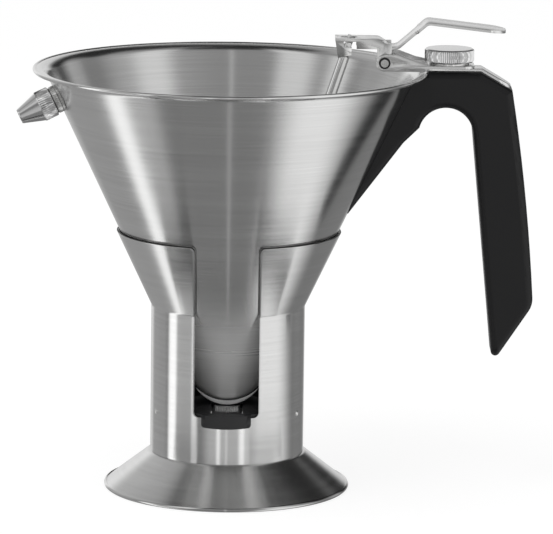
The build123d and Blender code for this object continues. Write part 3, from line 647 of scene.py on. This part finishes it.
# ==== Handle ====
# One moulded piece of black plastic with a satin grain, fitted over a steel saddle on the cone,
# with a brass insert for the knob's thread.
brass = finish_material(
    "insert brass", tumbling, {"Colour": (0.72, 0.54, 0.25, 1), "Roughness": 0.25}, 0.000004, Metallic=1.0
)
handle_plastic = finish_material(
    "handle plastic",
    moulding,
    {"Colour": (0.007, 0.007, 0.0075, 1), "Grain": 0.0005, "Roughness": 0.38},
    0.000015,
    IOR=1.36,
)
dress(bright_steel, "handle_saddle")
dress(handle_plastic, "handle_body")
dress(brass, "threaded_insert")

# ==== Strap and bracket ====
# The strap runs over the handle's top and down its shoulder. The bracket on it is folded up into
# two cheeks for the lever's pivot, lined with black bushes. Both are blanked from bright sheet.


def eased(name, source, width, slot, body, material):
    """A copy of a CAD node with its sharp edges eased, which stands for it."""
    bm = copied(source)
    break_edges(bm, width, crease=30)
    return finished_mesh(name, bm, small_crease, slot, body, material, source)


sheet_steel = finish_material(
    "bright sheet",
    tumbling,
    {"Colour": (0.8, 0.8, 0.795, 1), "Roughness": 0.2, "Mark size": 0.008},
    0.000004,
    Metallic=1.0,
)
sheet_ease = 0.3
eased("strap_sheet", "handle_strap", sheet_ease, "bright_steel", "funnel", sheet_steel)
eased("bracket_sheet", "lever_bracket", sheet_ease, "bright_steel", "funnel", sheet_steel)
dress(black_plastic, "pivot_bushes")

# ==== Lever ====
# Bent from one piece of bright sheet: a channel with two hooks for the rod's cross pin, a riser
# and a thumb plate. It turns on a headed pin against a torsion spring of round wire.
eased("lever_sheet", "lever", sheet_ease, "bright_steel", "lever", sheet_steel)

pivot = Vector(joints["lever_pivot"]["pos_m"]) * 1000
pin, pin_head, head_depth, head_ease, pin_facets = 1.9, 2.75, 0.6, 0.3, 64
pin_half = span("pivot_pin")[1].y
pin_outline = (
    [(0, -pin_half), (pin, -pin_half), (pin, pin_half - head_depth), (pin_head, pin_half - head_depth)]
    + [(pin_head, pin_half - head_ease), (pin_head - 0.25, pin_half), (0, pin_half)]
)
seat = Matrix.Translation(pivot) @ Vector((0, 1, 0)).to_track_quat("Z", "Y").to_matrix().to_4x4()
headed_pin = turned(pin_outline, pin_facets, seat)
finished_mesh(
    "headed_pin", headed_pin, small_crease, "bright_steel", "lever", bright_steel, "pivot_pin"
)

# The spring's line, from the hole in the cheek in to the coil, round it and out under the lever
wire, coil, coil_turns, coil_half, coil_steps, wire_crease = 0.42, 2.85, 3.75, 1.71, 120, 60
hole_out, cheek, leg_bend, long_leg, leg_rise = 4.2, 9.2, 0.6, 5.4, radians(33)
spring_line = [(hole_out, -cheek, 0), (hole_out, -coil_half - leg_bend, 0)]
for i in range(coil_steps + 1):
    turn, along = 2 * pi * coil_turns * i / coil_steps, -coil_half + 2 * coil_half * i / coil_steps
    spring_line.append((coil * cos(turn), along, -coil * sin(turn)))
spring_line.append((long_leg * cos(leg_rise), coil_half, coil + long_leg * sin(leg_rise)))
shape = bpy.data.curves.new("spring line", "CURVE")
shape.dimensions = "3D"
shape.bevel_depth = wire / 1000
shape.bevel_resolution = 3
shape.use_fill_caps = True
run = shape.splines.new("POLY")
run.points.add(len(spring_line) - 1)
for point, spot in zip(run.points, spring_line):
    point.co = (*((pivot + Vector(spot)) / 1000), 1)
holder = bpy.data.objects.new("spring line", shape)
bm = bmesh.new()
bm.from_mesh(bpy.data.meshes.new_from_object(holder))
bpy.data.objects.remove(holder)
bm.transform(Matrix.Scale(1000, 4))
spring = finished_mesh(
    "wound_spring", bm, wire_crease, "bright_steel", None, bright_steel, "return_spring"
)
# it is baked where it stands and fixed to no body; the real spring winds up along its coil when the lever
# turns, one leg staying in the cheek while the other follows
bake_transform(spring)

# ==== Valve ====
# A rod leans from the round plug on the outlet's seat up to a cross pin in the lever's hooks. All
# three are turned from stainless bar and polished, because the batter runs over them.
rod_steel = finish_material(
    "polished rod",
    tumbling,
    {"Colour": (0.78, 0.78, 0.775, 1), "Roughness": 0.12, "Roughness spread": 0.05},
    0.000002,
    Metallic=1.0,
)
dress(rod_steel, "valve_rod", "valve_plug", "rod_cross_pin")

# ==== Knob ====
# A clamp knob turned from bar, with a fine straight knurl and broken edges. Its threaded shank
# goes through a thin washer and the strap into the handle's brass insert.
dress(bright_steel, "knob_washer")
knob_low, knob_high = span("knob")
knob_seat = Vector(joints["knob_turn"]["pos_m"]) * 1000
knob_radius, knob_edge, knob_shank = knob_high.x - knob_seat.x, 0.8, 3.0
knob_top, shank_low = knob_high.z - knob_seat.z, knob_low.z - knob_seat.z
knob_facets, crown, crown_start = 304, knob_radius - 0.1, 0.6
knurl_start, knurl_end = 1.0, knob_top - 1.0
# the knurl lies between two eased crowns; the top is turned down by a hair towards its edge
knob_outline = (
    [(0, shank_low), (knob_shank, shank_low), (knob_shank, 0), (knob_radius - knob_edge, 0)]
    + [(crown, crown_start, 0.3), (knob_radius, knurl_start, 1), (knob_radius, knob_top / 2, 1)]
    + [(knob_radius, knurl_end, 1), (crown, knob_top - crown_start, 0.3)]
    + [(knob_radius - knob_edge, knob_top - 0.05), (knob_radius - knob_edge - 0.5, knob_top)]
    + [(0, knob_top)]
)
knob = turned(knob_outline, knob_facets, Matrix.Translation(knob_seat), knurl_tooth)
finished_mesh("knurled_knob", knob, knurl_crease, "chromed", "knob", chrome, "knob")

# ==== Studio ====
# A pale floor, a plain white surround and a long lens that looks down a little from above the
# rim. Soft boxes and flags stand all round, where only the metal sees them.
target = Vector((0.02334, 0.0, 0.10884))
tilt, distance, roll = radians(10.537), 2.2, radians(0.763)
camera = bpy.data.objects.new("camera", bpy.data.cameras.new("camera"))
camera.data.lens = 293.9
camera.data.clip_end = 100.0  # metres, well behind the floor
away = Vector((0.0, -cos(tilt), sin(tilt)))
camera.location = target + away * distance
camera.rotation_mode = "QUATERNION"
level = (-away).to_track_quat("-Z", "Y")
camera.rotation_quaternion = level @ Matrix.Rotation(roll, 4, "Z").to_quaternion()
scene.collection.objects.link(camera)
scene.camera = camera

floor_half, floor_gap = 20.0, 0.0001
bm = bmesh.new()
bmesh.ops.create_grid(bm, x_segments=1, y_segments=1, size=floor_half)
floor_mesh = bpy.data.meshes.new("floor")
bm.to_mesh(floor_mesh)
bm.free()
floor = bpy.data.objects.new("floor", floor_mesh)
floor.location = (0, 0, -floor_gap)
scene.collection.objects.link(floor)
floor.visible_glossy = False
paper = bpy.data.materials.new("paper")
paper.use_nodes = True
tree = paper.node_tree
shader = tree.nodes["Principled BSDF"]
shader.inputs["Base Color"].default_value = (0.3, 0.3, 0.3, 1)
shader.inputs["Roughness"].default_value = 1.0
shader.inputs["Specular IOR Level"].default_value = 0.0
shader.inputs["Emission Color"].default_value = (1, 1, 1, 1)
shader.inputs["Emission Strength"].default_value = 0.76
floor_mesh.materials.append(paper)

# Matt black flags, cut as parts of rings, lie on the floor where only the metal sees them: they
# keep the slot and the collar dark. Radii in metres, angles in degrees from the front.
flag_steps, flag_height = 24, 0.0002
flag_black = bpy.data.materials.new("flag black")
flag_black.use_nodes = True
flag_black.node_tree.nodes["Principled BSDF"].inputs["Base Color"].default_value = (0.02, 0.02, 0.02, 1)
flag_black.node_tree.nodes["Principled BSDF"].inputs["Specular IOR Level"].default_value = 0.0
for name, low_radius, high_radius, start, end in (
    ("front_flag", 0.063, 0.088, -60, 60),
    ("right_flag", 0.118, 0.15, 30, 80),
    ("left_flag", 0.118, 0.15, -75, -40),
):
    bm = bmesh.new()
    spokes = []
    for i in range(flag_steps + 1):
        a = radians(start + (end - start) * i / flag_steps)
        ends = [(r * sin(a), -r * cos(a), flag_height) for r in (low_radius, high_radius)]
        spokes.append([bm.verts.new(point) for point in ends])
    for one, two in zip(spokes, spokes[1:]):
        bm.faces.new((one[0], one[1], two[1], two[0]))
    flag_mesh = bpy.data.meshes.new(name)
    bm.to_mesh(flag_mesh)
    bm.free()
    flag_mesh.materials.append(flag_black)
    flag = bpy.data.objects.new(name, flag_mesh)
    scene.collection.objects.link(flag)
    flag.visible_camera = flag.visible_diffuse = flag.visible_shadow = flag.visible_transmission = False

world = bpy.data.worlds.new("studio")
scene.world = world
world.use_nodes = True
tree = world.node_tree
tree.nodes.clear()

# Soft box: how strongly a box of light shows in one direction, its edges fading over a margin
soft_box, given, made = effect(
    "Soft box",
    (
        ("Azimuth", "NodeSocketFloat", 0.0),
        ("Elevation", "NodeSocketFloat", 0.0),
        ("Centre", "NodeSocketFloat", 0.0),
        ("Half width", "NodeSocketFloat", 10.0),
        ("Low", "NodeSocketFloat", -90.0),
        ("High", "NodeSocketFloat", 90.0),
        ("Margin", "NodeSocketFloat", 5.0),
        ("Rise", "NodeSocketFloat", 20.0),
        ("Lean", "NodeSocketFloat", 0.0),
        ("Strength", "NodeSocketFloat", 1.0),
    ),
    (("Light", "NodeSocketFloat"),),
)
middle = maths(
    soft_box, "MULTIPLY_ADD", given.outputs["Elevation"], given.outputs["Lean"], given.outputs["Centre"]
)
turn = maths(soft_box, "SUBTRACT", given.outputs["Azimuth"], middle)
turn = maths(soft_box, "ABSOLUTE", maths(soft_box, "WRAP", turn, 180.0, -180.0))
inside = maths(soft_box, "SUBTRACT", given.outputs["Half width"], turn)
inside = maths(soft_box, "ADD", maths(soft_box, "DIVIDE", inside, given.outputs["Margin"]), 0.5)
across = node(soft_box, "ShaderNodeMapRange", inside, interpolation_type="SMOOTHSTEP").outputs[0]
over_low = maths(soft_box, "SUBTRACT", given.outputs["Elevation"], given.outputs["Low"])
under_high = maths(soft_box, "SUBTRACT", given.outputs["High"], given.outputs["Elevation"])
nearest = maths(soft_box, "MINIMUM", over_low, under_high)
nearest = maths(soft_box, "ADD", maths(soft_box, "DIVIDE", nearest, given.outputs["Rise"]), 0.5)
upward = node(soft_box, "ShaderNodeMapRange", nearest, interpolation_type="SMOOTHSTEP").outputs[0]
light = maths(soft_box, "MULTIPLY", across, upward)
light = maths(soft_box, "MULTIPLY", light, given.outputs["Strength"])
soft_box.links.new(light, made.inputs["Light"])

view = node(tree, "ShaderNodeTexCoord")
split = node(tree, "ShaderNodeSeparateXYZ", view.outputs["Generated"])
# degrees from the front, towards the right, and degrees above the horizon
ahead = maths(tree, "MULTIPLY", split.outputs[1], -1.0)
azimuth = maths(tree, "DEGREES", maths(tree, "ARCTAN2", split.outputs[0], ahead))
elevation = maths(tree, "DEGREES", maths(tree, "ARCSINE", split.outputs[2]))
total = 0.26  # the room's own light, which the boxes add to and the dark cloths take from
for centre, half, low, high, margin, rise, lean, strength in (
    (-88, 8, -90, 30, 6, 30, 0.2, 1.35),  # strip on the left
    (-66, 13, -90, 30, 8, 30, 0.2, 0.3),  # pale card beside it
    (-132, 28, -90, 60, 12, 20, 0.0, 0.16),  # wall behind on the left
    (62, 32, -90, 28, 40, 26, -0.34, 0.9),  # window on the right
    (0, 1.2, -90, 60, 1.2, 30, 0.0, 0.4),  # narrow strip over the lens
    (0, 32, -30, 8, 20, 12, 0.0, 0.38),  # light table in front
    (-50, 4.5, -30, 8, 3, 12, 0.0, 1.0),  # strips over the light table
    (-12, 2.5, -30, 8, 3, 12, 0.0, 0.8),
    (23, 4, -30, 8, 4, 12, 0.0, 0.7),
    (0, 180, 22, 60, 10, 16, 0.0, 0.1),  # pale upper wall
    (-50, 14, 30, 70, 14, 20, 0.0, 0.6),  # high strip on the left
    (62, 14, 30, 62, 18, 20, 0.0, 0.55),  # high strip on the right
    (-173, 24, -15, 24, 16, 16, 0.0, 0.62),  # pale wall behind
    (-150, 26, -5, 46, 20, 30, 0.0, 0.14),  # and to its left
    (127, 9, -5, 20, 8, 10, 0.0, 0.3),  # pale door behind on the right
    (138, 32, 30, 90, 12, 12, 0.0, -0.34),  # dark curtain over it
    (155, 12, 8, 40, 8, 10, 0.0, -0.3),
    (0, 180, 62, 90, 10, 14, 0.0, -0.3),  # dark ceiling
    (85, 24, 66, 86, 14, 8, 0.0, 0.3),  # gap in the ceiling
):
    box = tree.nodes.new("ShaderNodeGroup")
    box.node_tree = soft_box
    tree.links.new(azimuth, box.inputs["Azimuth"])
    tree.links.new(elevation, box.inputs["Elevation"])
    for label, value in zip(
        ("Centre", "Half width", "Low", "High", "Margin", "Rise", "Lean", "Strength"),
        (centre, half, low, high, margin, rise, lean, strength),
    ):
        box.inputs[label].default_value = value
    total = maths(tree, "ADD", total, box.outputs["Light"])
total = maths(tree, "MAXIMUM", total, 0.02)
# the metal sees the boxes, the camera a white surround, and all else a plain even light
path = node(tree, "ShaderNodeLightPath")
glossy = node(tree, "ShaderNodeMix", ("Factor", path.outputs["Is Glossy Ray"]), ("A", 0.95), ("B", total))
seen = node(
    tree, "ShaderNodeMix", ("Factor", path.outputs["Is Camera Ray"]), ("A", glossy.outputs[0]), ("B", 1.0)
)
surround = node(tree, "ShaderNodeBackground", ("Strength", seen.outputs[0]))
node(tree, "ShaderNodeOutputWorld", surround.outputs[0])

key = bpy.data.objects.new("key", bpy.data.lights.new("key", "AREA"))
key.data.shape = "RECTANGLE"
key.data.size, key.data.size_y = 0.9, 0.9
key.data.energy = 6.0
key.location = (-0.5, -0.5, 1.4)
key.rotation_mode = "QUATERNION"
key.rotation_quaternion = (Vector((0, 0, 0.1)) - key.location).to_track_quat("-Z", "Y")
key.visible_glossy = False
scene.collection.objects.link(key)

scene.view_settings.view_transform = "Standard"
